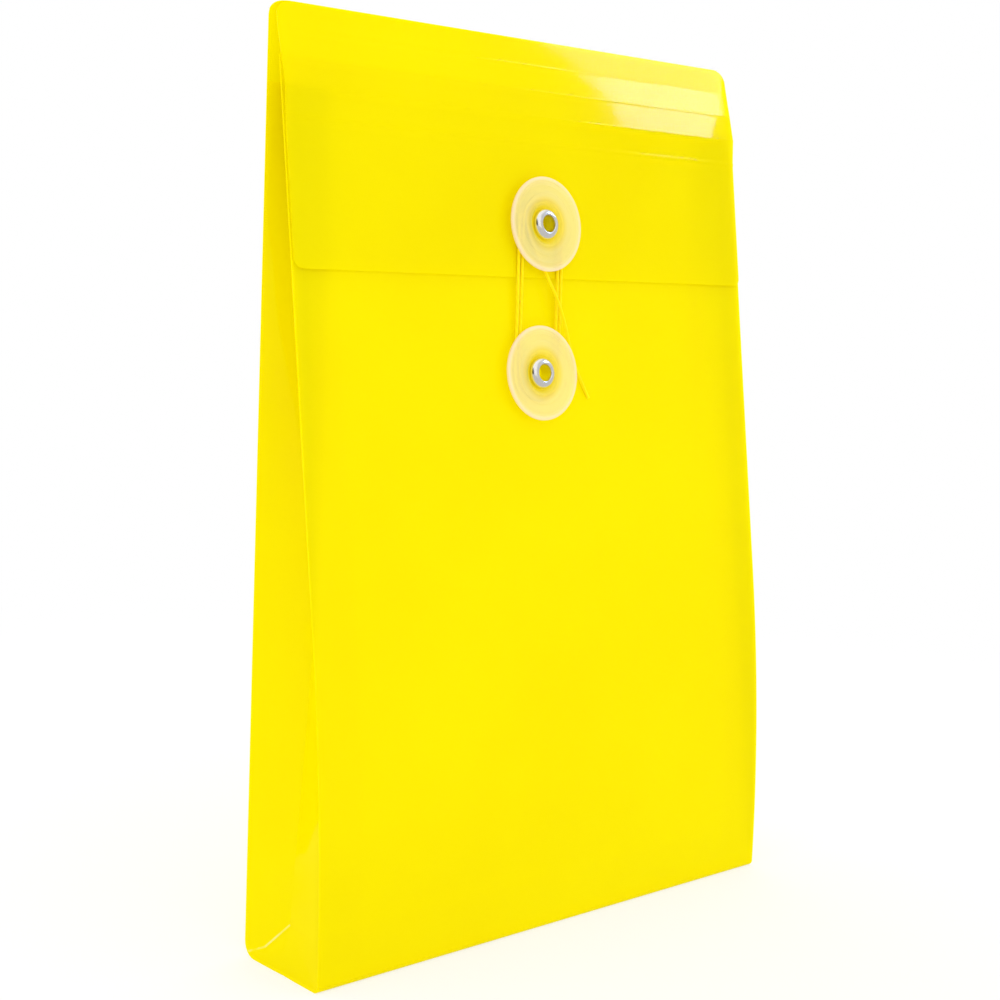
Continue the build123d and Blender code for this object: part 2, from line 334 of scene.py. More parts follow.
def front_profile(low, high, out):
    """Side profile that follows the front from one run to another."""
    curved = [low + (belly_run - low) * row / belly_rows for row in range(belly_rows)]
    straight = [belly_run + (high - belly_run) * row / lean_rows for row in range(lean_rows + 1)]
    return [front_at(run, out) for run in curved + straight]


def punch(piece, seat):
    """Punches a rivet hole through a film panel."""
    bpy.ops.object.select_all(action="DESELECT")
    turn = Vector((0, 0, 1)).rotation_difference(face_out).to_euler()
    bpy.ops.mesh.primitive_cylinder_add(
        vertices=hole_steps, radius=hole_radius, depth=punch_depth, location=seat, rotation=turn)
    cutter = bpy.context.object
    bpy.context.view_layer.objects.active = piece
    hole = piece.modifiers.new("hole", "BOOLEAN")
    hole.object = cutter
    hole.operation = "DIFFERENCE"
    hole.solver = "EXACT"
    bpy.ops.object.modifier_apply(modifier=hole.name)
    bpy.data.objects.remove(cutter)


front_line = front_profile(front_bend, front_run, -film / 2)
front_film = film_sheet("front_film", front_line, -half_width, half_width)
punch(front_film, lower_seat)
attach(front_film, "front")
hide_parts("front_panel")

# Weld tabs: the free margin of each side gusset, laid behind the front and heat-welded to it, which melted
# them clear, so that the doubled film is hardly deeper in colour. Their outer edge turns back along the
# gusset, far enough to stay joined to it when the envelope is pressed flat.
tab_width = 13 * mm
tab_margin = 6 * mm
tab_columns = 4
layer_gap = 0.1 * mm
tab_behind = 1.5 * film + layer_gap
hem_inset = 0.4 * mm
hem_least = 0.2 * mm
hem_overlap = 0.4 * mm
fold_half = depth / 2
side_edge = half_width - film / 2
tab_edge = side_edge - hem_inset
welded_film = film_material("polypropylene_film_heat_welded", "#fdec00", "#fff000", 0.75)


def front_ahead(up):
    """How far the front's face stands ahead of the back's at a height."""
    if up < belly_radius * math.sin(lean):
        return depth - belly_radius + math.sqrt(belly_radius**2 - up**2)
    return mouth_depth + (mouth_up - up) * math.tan(lean)


def gusset_row(up):
    """Rear edge, middle fold and front edge of the left gusset at a height."""
    ahead = front_ahead(up) - film / 2
    half = (ahead - film / 2) / 2
    inward = math.sqrt(fold_half**2 - half**2)
    middle = outer_rear - film / 2 - half
    return [
        Vector((-side_edge, outer_rear - film / 2, up)),
        Vector((inward - side_edge, middle, up)),
        Vector((-side_edge, outer_rear - ahead, up)),
    ]


def hem_reach(up):
    """How far past the least a tab turns back at a height, to cover where its gusset parts from the front."""
    front_y = outer_rear - front_ahead(up)
    arm = Vector((front_y - pivot.y, pivot.z - up))
    swung = pivot.y + arm.x * math.cos(collapse) + arm.y * math.sin(collapse)
    parted = max(outer_rear - flat_share * front_ahead(up) - swung, 0.0)
    return parted + min(parted, hem_overlap)


def turn_hem(tab, outward):
    """Turns the outer edge of a tab back along its gusset."""
    bpy.ops.object.mode_set(mode="EDIT")
    bpy.ops.mesh.select_all(action="DESELECT")
    mesh = bmesh.from_edit_mesh(tab.data)
    for point in mesh.verts:
        point.select = abs(point.co.x - outward * tab_edge) < same_place
    mesh.select_flush_mode()
    bmesh.update_edit_mesh(tab.data)
    bpy.ops.mesh.extrude_region_move(TRANSFORM_OT_translate={"value": (0, hem_least, 0)})
    mesh = bmesh.from_edit_mesh(tab.data)
    for point in mesh.verts:
        if point.select:
            point.co.y += hem_reach(point.co.z)
            middle, edge = gusset_row(point.co.z)[1:]
            share = (point.co.y - edge.y) / (middle.y - edge.y)
            point.co.x = -outward * (edge.x + (middle.x - edge.x) * share + hem_inset)
    bmesh.update_edit_mesh(tab.data)
    bpy.ops.object.mode_set(mode="OBJECT")


for side, outward in (("left", -1), ("right", 1)):
    tab_profile = front_profile(tab_margin, front_run - tab_margin, -tab_behind)
    tab = sheet_line(f"{side}_tab_film", tab_profile, outward * tab_edge)
    pull_across([-outward * (tab_edge - half_width + tab_width) / tab_columns] * tab_columns)
    turn_hem(tab, outward)
    thicken(tab, (welded_film, edge_film), even=False)
    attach(tab, "front")
    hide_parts(f"{side}_weld_tab")

# Side gussets: a strip of the film each side, folded inwards along its middle so that the envelope can open
# and press flat. At the bottom two slanted creases gather the strip into the corners, and the faces along
# the creases are painted pale, a painted highlight standing for the gleam of the sharp folds.
corner_tuck = 12 * mm
gusset_levels = 20
crease_width = 0.25 * mm
gather_share = 0.42
gather_drop = 1.6 * mm
gusset_top = mouth_up - tab_margin
# Pale film colour for the crease faces: a painted highlight along the folds, not a colour of the film.
crease_painted_highlight = film_material("polypropylene_film_crease_painted_highlight", "#fff028", "#fff8b4", 0.3, 5 * mm)


def move_row(targets):
    """Moves the selected row of points, from the rear to the front, to these places."""
    mesh = bmesh.from_edit_mesh(bpy.context.object.data)
    row = sorted((point for point in mesh.verts if point.select), key=lambda point: -point.co.y)
    for point, target in zip(row, targets):
        point.co = target
    bmesh.update_edit_mesh(bpy.context.object.data)


foot_row = [
    Vector((-side_edge, *rear_fold[bend_steps // 2])),
    Vector((-side_edge, (rear + front_foot) / 2, floor_film)),
    Vector((-side_edge, *front_fold[bend_steps // 2])),
]
gusset_rows = [gusset_row(corner_tuck + (gusset_top - corner_tuck) * level / gusset_levels)
               for level in range(gusset_levels + 1)]
left_gusset = start_line("left_gusset_film", foot_row[0])
draw_through(foot_row)
for row in gusset_rows:
    bpy.ops.mesh.extrude_region_move(TRANSFORM_OT_translate={"value": (0, 0, corner_tuck)})
    move_row(row)
bpy.ops.mesh.select_all(action="DESELECT")
mesh = bmesh.from_edit_mesh(left_gusset.data)


def nearest(place):
    """The gusset's point nearest to a place."""
    return min(mesh.verts, key=lambda point: (point.co - place).length)


def add_points(first, last, places):
    """Adds points to the edge between two of the gusset's points and puts them in these places."""
    start = nearest(first)
    side = [edge for edge in start.link_edges if nearest(last) in edge.verts]
    inner = bmesh.ops.subdivide_edges(mesh, edges=side, cuts=len(places))["geom_inner"]
    added = [point for point in inner if isinstance(point, bmesh.types.BMVert)]
    for point, place in zip(sorted(added, key=lambda point: (point.co - first).length), places):
        point.co = place


for end, fold, toward in ((0, rear_fold, 1), (2, front_fold, -1)):
    rounded = [Vector((-side_edge, ahead, up)) for ahead, up in fold][::-toward]
    add_points(foot_row[end], foot_row[1], rounded[bend_steps // 2 - 1::-1])
    add_points(foot_row[end], gusset_rows[0][end], rounded[bend_steps // 2 + 1:])
gather = foot_row[0].lerp(gusset_rows[0][1], gather_share) - Vector((0, 0, gather_drop))
bmesh.ops.connect_vert_pair(mesh, verts=[nearest(gusset_rows[0][1]), nearest(foot_row[2])])
bmesh.ops.connect_vert_pair(mesh, verts=[nearest(gusset_rows[0][1]), nearest(foot_row[0])])
add_points(foot_row[0], gusset_rows[0][1], [gather])
for point in (nearest(foot_row[0]), nearest(gusset_rows[0][1])):
    for edge in point.link_edges:
        edge.select = edge.select or nearest(gather) in edge.verts
bmesh.update_edit_mesh(left_gusset.data)
bpy.ops.mesh.bevel(offset=crease_width, segments=2, affect="EDGES")
bpy.ops.object.mode_set(mode="OBJECT")
# The bevelled crease faces take the pale crease colour, a painted highlight.
for face in left_gusset.data.polygons:
    face.material_index = 2 if face.select else 0
# Facets cut before the film has its thickness keep its two skins apart where a panel is twisted.
facets = left_gusset.modifiers.new("facets", "TRIANGULATE")
bpy.ops.object.modifier_apply(modifier=facets.name)
thicken(left_gusset, film_finish + (crease_painted_highlight,), angle=20)
bpy.ops.object.select_all(action="DESELECT")
left_gusset.select_set(True)
bpy.ops.object.duplicate()
right_gusset = bpy.context.object
right_gusset.name = "right_gusset_film"
right_gusset.data.name = "right_gusset_film"
bpy.ops.object.mode_set(mode="EDIT")
bpy.ops.mesh.select_all(action="SELECT")
bpy.ops.transform.resize(value=(-1, 1, 1), center_override=(0, 0, 0))
bpy.ops.mesh.normals_make_consistent(inside=False)
bpy.ops.object.mode_set(mode="OBJECT")
for gusset, side in ((left_gusset, "left"), (right_gusset, "right")):
    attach(gusset, "back")
    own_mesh(gusset)
    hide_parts(f"{side}_gusset")

# Top fold, scored spine and flap: the rest of the sheet, turned over the top and down the front.
# Four pressed score lines let the spine take up a thick filling. A hole in the flap takes the upper rivet.
strip = 7 * mm
spine_leans = (17, 16, 15, 3)
score_beads = (
    (0.25 * mm, 0.012 * mm),
    (0.25 * mm, 0.025 * mm),
    (0.25 * mm, 0.01 * mm),
    (0.8 * mm, 0.12 * mm),
)
bead_rows = 4
bead_lead = 1.6
strip_rows = (0.55 * mm, 0.95 * mm, 1.5 * mm, 2.2 * mm, 3.0 * mm)
fold_steps = 10
flap_length = 35.7 * mm
flap_rows = 7
end_rows = (2.4 * mm, 1.7 * mm, 1.1 * mm, 0.6 * mm, 0.25 * mm, 0.0)
low_corner = 2.4 * mm
curl_width = 3.0 * mm
curl = 0.45 * mm
curl_columns = 5
middle_columns = 18
flap_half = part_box("flap")[1].x
front_corner = rear_corner - (half_width - flap_half)
fold_middle = (top_crease.y - fold_radius, top_crease.z)


def down(place, angle, length):
    """Place in the side view a length down a strip that leans by an angle."""
    return place[0] - length * math.sin(angle), place[1] - length * math.cos(angle)


def out_from(place, angle, rise):
    """Place in the side view lifted off a strip that leans by an angle."""
    return place[0] - rise * math.cos(angle), place[1] + rise * math.sin(angle)


arc_turns = [fold_turn * step / fold_steps for step in range(fold_steps)]
arc_rows = [
    (fold_middle[0] + fold_radius * math.cos(turn), fold_middle[1] + fold_radius * math.sin(turn))
    for turn in arc_turns
]
score = (ridge.y, ridge.z)
flap_profile = arc_rows + [score]
strip_angles = [math.radians(angle) for angle in spine_leans] + [lean]
for angle, below, (half, rise) in zip(strip_angles, strip_angles[1:], score_beads):
    flap_profile += [down(score, angle, row) for row in strip_rows]
    score = down(score, angle, strip)
    flap_profile.append(down(score, angle, -bead_lead * half))
    for row in range(-bead_rows, bead_rows + 1):
        share = row / bead_rows
        lift = rise * (1 + math.cos(math.pi * share)) / 2
        place = down(score, angle if row < 0 else below, half * share)
        flap_profile.append(out_from(place, (angle + below) / 2, lift))
flap_top = 3 * score_beads[-1][0]
flap_step = (flap_length - end_rows[0] - flap_top) / flap_rows
flap_profile += [down(score, lean, flap_top + flap_step * row) for row in range(flap_rows)]
flap_end = down(score, lean, flap_length)
low_rows = [down(flap_end, lean, -row) for row in end_rows]
flap_profile += low_rows
flap_film = sheet_line("flap_film", flap_profile, -flap_half)
curl_steps = [curl_width / curl_columns] * curl_columns
pull_across(curl_steps + [2 * (flap_half - curl_width) / middle_columns] * middle_columns + curl_steps)
for place, turn in zip(arc_rows, arc_turns):
    inset = corner_inset(rear_corner, fold_radius * (fold_turn - turn))
    narrow_row(flap_film, place, (half_width - inset) / flap_half)
narrow_row(flap_film, (ridge.y, ridge.z), (flap_half - front_corner) / flap_half)
for row in strip_rows:
    place = down((ridge.y, ridge.z), strip_angles[0], row)
    narrow_row(flap_film, place, 1 - corner_inset(front_corner, row) / flap_half)
for place, row in zip(low_rows, end_rows):
    narrow_row(flap_film, place, 1 - corner_inset(low_corner, row) / flap_half)
bpy.ops.object.mode_set(mode="EDIT")
mesh = bmesh.from_edit_mesh(flap_film.data)
for point in mesh.verts:
    past = max(abs(point.co.x) - flap_half + curl_width, 0.0) / curl_width
    below = min(max(ridge.z - point.co.z, 0.0) / strip, 1.0)
    point.co.y += curl * past**2 * below
bmesh.update_edit_mesh(flap_film.data)
bpy.ops.object.mode_set(mode="OBJECT")
thicken(flap_film, film_finish)
punch(flap_film, upper_seat)
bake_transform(flap_film)
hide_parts("top_fold", "spine_strip_1", "spine_strip_2", "spine_strip_3", "spine_strip_4", "flap")

# Button discs: moulded washers of milky polypropylene on a short hub, one on the flap and one on the front.
# Each turns on its rivet, and the gap under its plate holds the string. The lathe-cut mould leaves rings.
disc_steps = 96
disc_inside = 2.0
disc_outside = 13.0
# Colours across the disc by share of its radius: the film's yellow glowing through is painted into the plate,
# a painted glow deepest at the sunk middle where it also lifts the shade; only the rim keeps the plastic's
# own pale colour.
disc_tints_with_painted_glow = (
    (0.22, "#ffe61e"), (0.36, "#fff06a"), (0.5, "#fff8a6"),
    (0.75, "#fff9ae"), (0.86, "#fff4b4"), (0.95, "#fdead0"),
)
disc_clears = ((0.24, 0.06), (0.38, 0.45), (0.8, 0.5), (0.9, 0.3), (0.95, 0.25))
disc_profile = (
    (2.66, 0.06), (5.0, 0.06), (5.2, 0.26), (5.2, 1.5), (5.3, 1.72), (5.5, 1.8), (12.1, 1.8), (12.38, 1.88),
    (12.5, 2.08), (12.5, 2.4), (12.42, 2.56), (12.2, 2.66), (11.9, 2.7), (11.6, 2.66), (11.38, 2.56),
    (11.3, 2.45), (10.55, 2.44), (10.42, 2.48), (10.3, 2.5), (10.18, 2.48), (10.05, 2.44), (8.6, 2.44),
    (8.45, 2.48), (8.36, 2.57), (8.2, 2.6), (5.75, 2.6), (5.6, 2.58), (5.45, 2.5), (4.65, 1.72), (4.55, 1.63),
    (4.4, 1.6), (2.76, 1.6), (2.66, 1.5), (2.66, 0.06),
)


def turned(name, seat, profile, steps):
    """A piece turned about the line square to the film at a seat, from radii and heights in millimetres."""
    merge_gap = 0.001 * mm
    points = [seat + Vector((radius * mm, 0, 0)) + face_out * (up * mm) for radius, up in profile]
    piece = start_line(name, points[0])
    draw_through(points)
    bpy.ops.mesh.remove_doubles(threshold=merge_gap)
    bpy.ops.mesh.select_all(action="SELECT")
    bpy.ops.mesh.spin(steps=steps, angle=2 * math.pi, center=seat, axis=face_out)
    bpy.ops.mesh.select_all(action="SELECT")
    bpy.ops.mesh.remove_doubles(threshold=merge_gap)
    bpy.ops.mesh.normals_make_consistent(inside=False)
    bpy.ops.object.mode_set(mode="OBJECT")
    bpy.ops.object.shade_smooth_by_angle(angle=math.radians(40))
    return piece


def note_radius(piece, seat):
    """Keeps each point's distance from the turning line, in millimetres, for the material."""
    radii = piece.data.attributes.new("turned_radius", "FLOAT", "POINT")
    for point in piece.data.vertices:
        arm = point.co - seat
        radii.data[point.index].value = (arm - face_out * arm.dot(face_out)).length / mm


def disc_material():
    """Natural polypropylene, moulded: milky and partly clear over the yellow film. The film's yellow is also
    painted into its colour as a painted glow, deepest in the thin floor of the sunk middle where it lifts the
    shade; the thick rim stays pale."""
    grain = 0.4 * mm
    grain_height = 0.02 * mm
    material = bpy.data.materials.new("natural_polypropylene_moulded")
    material.use_nodes = True
    tree = material.node_tree
    shader = tree.nodes["Principled BSDF"]
    radius = add(tree, "Attribute", attribute_name="turned_radius").outputs["Fac"]
    share = add(tree, "MapRange", {"Value": radius, "From Min": disc_inside, "From Max": disc_outside})
    # The colour ramp paints the film's glow through the plate, strongest towards the middle.
    tint = add(tree, "ValToRGB", {"Fac": share.outputs["Result"]})
    clear = add(tree, "ValToRGB", {"Fac": share.outputs["Result"]})
    tints_with_glow = [(position, linear(code)) for position, code in disc_tints_with_painted_glow]
    clears = [(position, (level, level, level, 1.0)) for position, level in disc_clears]
    for ramp, marks in ((tint, tints_with_glow), (clear, clears)):
        stops = ramp.color_ramp.elements
        stops[0].position = marks[0][0]
        stops[1].position = marks[1][0]
        for position, colour in marks[2:]:
            stops.new(position)
        for stop, (position, colour) in zip(stops, marks):
            stop.color = colour
    place = add(tree, "TexCoord").outputs["Object"]
    frost = add(tree, "TexNoise", {"Vector": place, "Scale": 1 / grain})
    skin = add(tree, "Bump", {"Height": frost.outputs["Fac"], "Strength": 0.2, "Distance": grain_height})
    tree.links.new(tint.outputs["Color"], shader.inputs["Base Color"])
    tree.links.new(skin.outputs["Normal"], shader.inputs["Normal"])
    shader.inputs["Roughness"].default_value = 0.7
    shader.inputs["Specular IOR Level"].default_value = 0.0
    shader.inputs["Coat Weight"].default_value = 0.3
    shader.inputs["Coat Roughness"].default_value = 0.3
    let_through(tree, tint.outputs["Color"], clear.outputs["Color"])
    return material


milky_plastic = disc_material()
for level, seat in (("upper", upper_seat), ("lower", lower_seat)):
    disc = turned(f"{level}_button_disc", seat, disc_profile, disc_steps)
    note_radius(disc, seat)
    disc.data.materials.append(milky_plastic)
    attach(disc, f"{level}_button")
    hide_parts(f"{level}_disc")

# Eyelets: drawn brass tubes, nickel plated, with a rolled flange in front and a clinched rim behind.
# Each is set through the film and its disc, so that the disc can still turn. Its radii and heights are in mm.
eyelet_steps = 72
lip_steps = 14
inner_steps = 5
under_steps = 6
clinch_steps = 12
bore = 2.25
barrel = 2.6
flange = 4.1
clinched = 3.6
flange_seat = 1.66
clinch = 0.45
lip_rise = 1.85
lip_round = 0.3
lip_under = 0.45
film_back = -film / mm


def round_points(middle, reach, turn_from, turn_to, steps):
    """Radii and heights of points round a part of an oval."""
    turns = [turn_from + (turn_to - turn_from) * step / steps for step in range(steps + 1)]
    return [(middle[0] + reach[0] * math.cos(turn), middle[1] + reach[1] * math.sin(turn)) for turn in turns]


def eyelet_profile():
    """Radii and heights round the wall of an eyelet, from its bore over the lip to its clinched rim."""
    quarter = math.pi / 2
    lip_middle = bore + lip_round
    top = flange_seat + lip_rise
    across = flange - lip_middle
    fall = lip_rise - lip_under
    dome = (across**2 + fall**2) / (2 * fall)
    end = math.asin((fall - dome) / -dome)
    under = (flange - lip_under, flange_seat + lip_under)
    rim = ((bore + clinched) / 2, film_back)
    rim_reach = ((clinched - bore) / 2, -clinch)
    inside = (lip_middle, top - lip_round)
    points = round_points(inside, (lip_round, lip_round), math.pi, quarter, inner_steps)
    points += round_points((lip_middle, top - dome), (dome, dome), quarter, end, lip_steps)[1:]
    points += round_points(under, (lip_under, lip_under), 0, -quarter, under_steps)[1:]
    points += [(barrel, flange_seat), (barrel, film_back)]
    points += round_points(rim, rim_reach, 0, math.pi, clinch_steps)
    return points + [points[0]]


def nickel_material():
    """Nickel plate over brass, barrel polished: a bright mirror, a shade warm, with small dulled patches."""
    wear = 0.7 * mm
    material = bpy.data.materials.new("nickel_plate_polished")
    material.use_nodes = True
    tree = material.node_tree
    shader = tree.nodes["Principled BSDF"]
    place = add(tree, "TexCoord").outputs["Object"]
    rub = add(tree, "TexNoise", {"Vector": place, "Scale": 1 / wear, "Detail": 4.0})
    dull = add(tree, "MapRange", {"Value": rub.outputs["Fac"], "To Min": 0.12, "To Max": 0.26})
    tint = add(tree, "ValToRGB", {"Fac": rub.outputs["Fac"]})
    tint.color_ramp.elements[0].color = linear("#e8e5e0")
    tint.color_ramp.elements[1].color = linear("#f8f6f3")
    tree.links.new(tint.outputs["Color"], shader.inputs["Base Color"])
    tree.links.new(dull.outputs["Result"], shader.inputs["Roughness"])
    shader.inputs["Metallic"].default_value = 1.0
    return material


nickel = nickel_material()
for level, seat, body in (("upper", upper_seat, "flap"), ("lower", lower_seat, "front")):
    eyelet = turned(f"{level}_eyelet_rivet", seat, eyelet_profile(), eyelet_steps)
    eyelet.data.materials.append(nickel)
    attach(eyelet, body)
    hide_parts(f"{level}_eyelet")

# String: a thin twisted yellow cord, knotted under the upper disc, wound twice round both hubs and left with
# a short free end. It is held by the hubs alone. The free end's route is given in mm from the lower hub.
cord = 0.8 * mm
turn_gap = 0.5 * mm
hub_radius = 5.2 * mm
hub_clear = 0.15 * mm
upper_rise = 1.0 * mm
lower_rise = 0.8 * mm
half_turn_steps = 8
near_hub = 6 * cord
tail_route = (
    (1.0, 26.9, 0.35),
    (4.9, 19.6, 1.6),
    (8.1, 12.4, 1.6),
    (10.6, 8.1, 0.4),
    (13.9, 1.8, -0.2),
    (18.8, -5.2, -0.1),
)
upper_hub = upper_seat + face_out * upper_rise
lower_hub = lower_seat + face_out * lower_rise
hub_spacing = (upper_hub - lower_hub).length
string_up = (upper_hub - lower_hub).normalized()
string_out = (face_out - string_up * face_out.dot(string_up)).normalized()
string_right = string_up.cross(string_out)
inner = hub_radius + hub_clear + cord / 2
pitch = cord + turn_gap
middle_turn = inner + pitch
outer = inner + 2 * pitch
tail_side = tail_route[0][0] * mm
tail_drop = tail_route[0][1] * mm - hub_spacing
swing = math.atan2(tail_drop, tail_side) - math.acos(inner / math.hypot(tail_side, tail_drop))


def on_string(right, up, out=0.0):
    """Place in the plane of the winding, from the lower hub."""
    return lower_hub + string_right * right + string_up * up + string_out * out


def round_hub(up, centre, radius, turn_from, turn_to):
    """Points of the string round one hub, just outside its circle so that the smooth line lies on it."""
    count = max(3, round(half_turn_steps * (turn_to - turn_from) / math.pi))
    step = (turn_to - turn_from) / count
    wide = radius / math.cos(step / 2)
    turns = [turn_from + step * (at + 0.5) for at in range(count)]
    return [on_string(centre + wide * math.cos(turn), up + wide * math.sin(turn)) for turn in turns]


def straight_run(right, up_from, up_to):
    """Two points of a straight length between the hubs, each a little way from its hub."""
    toward = math.copysign(near_hub, up_to - up_from)
    return [on_string(right, up_from + toward), on_string(right, up_to - toward)]


route = [on_string(-outer, hub_spacing)] + straight_run(-outer, hub_spacing, 0)
route += round_hub(0, -pitch / 2, (outer + middle_turn) / 2, math.pi, 2 * math.pi)
route += straight_run(middle_turn, 0, hub_spacing)
route += round_hub(hub_spacing, 0, middle_turn, 0, math.pi)
route += straight_run(-middle_turn, hub_spacing, 0)
route += round_hub(0, -pitch / 2, (middle_turn + inner) / 2, math.pi, 2 * math.pi)
route += straight_run(inner, 0, hub_spacing)
route += round_hub(hub_spacing, 0, inner, 0, 2 * math.pi + swing)
route += [on_string(*(value * mm for value in point)) for point in tail_route]


def smooth_line(name, points, closed=False):
    """A curve object with one smooth spline that these points steer."""
    curve = bpy.data.curves.new(name, "CURVE")
    curve.dimensions = "3D"
    spline = curve.splines.new("NURBS")
    spline.points.add(len(points) - 1)
    for point, place in zip(spline.points, points):
        point.co = (*place, 1.0)
    spline.order_u = 3
    spline.use_endpoint_u = not closed
    spline.use_cyclic_u = closed
    spline.resolution_u = 6
    piece = bpy.data.objects.new(name, curve)
    bpy.context.scene.collection.objects.link(piece)
    return piece


def cord_tube(piece, diameter):
    """Turns a smooth line into a round mesh cord and gives the points that it follows."""
    bpy.context.view_layer.update()
    line = bpy.data.meshes.new_from_object(piece)
    points = [point.co.copy() for point in line.vertices]
    bpy.data.meshes.remove(line)
    piece.data.bevel_depth = diameter / 2
    piece.data.bevel_resolution = 3
    piece.data.use_fill_caps = True
    bpy.ops.object.select_all(action="DESELECT")
    piece.select_set(True)
    bpy.context.view_layer.objects.active = piece
    bpy.ops.object.convert(target="MESH")
    bpy.ops.object.shade_smooth_by_angle(angle=math.radians(50))
    return points


def yarn_material():
    """Twisted polyester yarn: a deep matt yellow with a fine slanted lay and a soft bloom of loose fibre.
    A wave texture has 20 / (2 pi) bands to each unit of its scale."""
    lay = 0.9425 * mm
    wave_unit = lay * 20 / (2 * math.pi)
    ply_height = 0.03 * mm
    material = bpy.data.materials.new("polyester_yarn_twisted")
    material.use_nodes = True
    tree = material.node_tree
    shader = tree.nodes["Principled BSDF"]
    place = add(tree, "TexCoord").outputs["Object"]
    slant = add(tree, "Mapping", {"Vector": place, "Rotation": (0.6, 0.0, 0.7)})
    ply = add(tree, "TexWave", {"Vector": slant.outputs["Vector"], "Scale": 1 / wave_unit, "Distortion": 1.5})
    tint = add(tree, "ValToRGB", {"Fac": ply.outputs["Fac"]})
    tint.color_ramp.elements[0].color = linear("#ffe200")
    tint.color_ramp.elements[1].color = linear("#ffec00")
    twist = add(tree, "Bump", {"Height": ply.outputs["Fac"], "Strength": 0.2, "Distance": ply_height})
    tree.links.new(tint.outputs["Color"], shader.inputs["Base Color"])
    tree.links.new(twist.outputs["Normal"], shader.inputs["Normal"])
    shader.inputs["Roughness"].default_value = 0.75
    shader.inputs["Specular IOR Level"].default_value = 0.1
    shader.inputs["Sheen Weight"].default_value = 0.05
    return material


yarn = yarn_material()
string = smooth_line("tie_string", route)
string_points = cord_tube(string, cord)
string.data.materials.append(yarn)
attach(string, "flap")
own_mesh(string)
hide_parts("string_winding", "string_tail")

# Knot: the string's own end, tied on itself so that it stays under the upper disc.
# The same yarn, pulled tight into a small overhand knot.
knot_points = 24
knot_reach = 0.13 * mm
knot_rise = 0.6 * mm
knot_cord = 0.55 * mm
knot_past = 1.1 * mm
knot_middle = on_string(-outer, hub_spacing + knot_past)
knot_route = []
for at in range(knot_points):
    turn = 2 * math.pi * at / knot_points
    right = math.sin(turn) + 2 * math.sin(2 * turn)
    out = math.cos(turn) - 2 * math.cos(2 * turn)
    across = string_right * (right * knot_reach) + string_out * (out * knot_reach)
    knot_route.append(knot_middle + across - string_up * (knot_rise * math.sin(3 * turn)))
knot = smooth_line("tie_string_knot", knot_route, closed=True)
cord_tube(knot, knot_cord)
knot.data.materials.append(yarn)
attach(knot, "flap")
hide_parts("string_knot")

# Camera: stands to the left in front of the envelope, a little above its middle, and looks down slightly.
# It is turned a touch about its own line of sight, because the photograph leans by that much.
camera_place = Vector((-323.51, -338.92, 173.63)) * mm
camera_yaw = math.radians(42.386)
camera_pitch = math.radians(-7.249)
camera_roll = math.radians(2.46)
focal_pixels = 1759.6
image_pixels = 1000
sensor = 36.0
frame_shift = -0.0044
camera_data = bpy.data.cameras.new("camera")
camera_data.sensor_width = sensor
camera_data.lens = focal_pixels * sensor / image_pixels
camera_data.shift_y = frame_shift
camera = bpy.data.objects.new("camera", camera_data)
bpy.context.scene.collection.objects.link(camera)
aim = Matrix.Rotation(-camera_yaw, 4, "Z") @ Matrix.Rotation(math.pi / 2 + camera_pitch, 4, "X")
camera.matrix_world = Matrix.Translation(camera_place) @ aim @ Matrix.Rotation(camera_roll, 4, "Z")
bpy.context.scene.camera = camera

# Studio: a seamless white paper floor and even white light all round, with no lamp of its own.
# To mirrors the room is dim in front and to the right, brighter behind, to the left and overhead, and nearly
# black far to the left, as the dark sides of the eyelets show.
floor_size = 8.0
floor_near = 0.12
floor_far = 0.45
floor_glow = 0.6
dim_room = 0.6
even_light = 1.16
bright_sides = (("Y", -0.1, 0.3), ("X", 0.25, -0.15), ("Z", 0.75, 0.9))
black_from = -0.74
black_full = -0.88
black_level = 0.02
bpy.context.scene.view_settings.view_transform = "Standard"


def seen_ray(tree, path):
    """Is 1 for a ray that the camera sends, straight or through a clear piece."""
    seen = add(tree, "Math", {0: path["Is Camera Ray"], 1: path["Is Transmission Ray"]}, operation="MAXIMUM")
    return seen.outputs["Value"]


def mirror_ray(tree, path):
    """Is 1 for a ray that gloss sends on before it has met any matt surface."""
    direct = add(tree, "Math", {0: path["Diffuse Depth"], 1: 0.5}, operation="LESS_THAN").outputs["Value"]
    return add(tree, "Math", {0: path["Is Glossy Ray"], 1: direct}, operation="MULTIPLY").outputs["Value"]


bpy.ops.object.select_all(action="DESELECT")
bpy.ops.mesh.primitive_plane_add(size=floor_size, location=(0, 0, 0))
floor = bpy.context.object
floor.name = "studio_floor"
paper = bpy.data.materials.new("seamless_paper_white")
paper.use_nodes = True
tree = paper.node_tree
matt = tree.nodes["Principled BSDF"]
matt.inputs["Base Color"].default_value = linear("#fafafa")
matt.inputs["Roughness"].default_value = 0.9
matt.inputs["Specular IOR Level"].default_value = 0.0
path = add(tree, "LightPath").outputs
away = add(tree, "VectorMath", {0: add(tree, "TexCoord").outputs["Object"]}, operation="LENGTH")
fade = add(tree, "MapRange", {
    "Value": away.outputs["Value"],
    "From Min": floor_near,
    "From Max": floor_far,
    "To Min": floor_glow,
    "To Max": 1.0,
}, interpolation_type="SMOOTHSTEP")
share = add(tree, "Math", {0: seen_ray(tree, path), 1: fade.outputs["Result"]}, operation="MULTIPLY")
gloss = mirror_ray(tree, path)
either = add(tree, "Math", {0: share.outputs["Value"], 1: gloss}, operation="MAXIMUM")
glow = add(tree, "MapRange", {"Value": gloss, "To Min": 1.0, "To Max": dim_room})
white = add(tree, "Emission", {"Color": linear("#ffffff"), "Strength": glow.outputs["Result"]})
mixed = add(tree, "MixShader", {
    "Fac": either.outputs["Value"],
    1: matt.outputs["BSDF"],
    2: white.outputs["Emission"],
})
tree.links.new(mixed.outputs["Shader"], tree.nodes["Material Output"].inputs["Surface"])
floor.data.materials.append(paper)

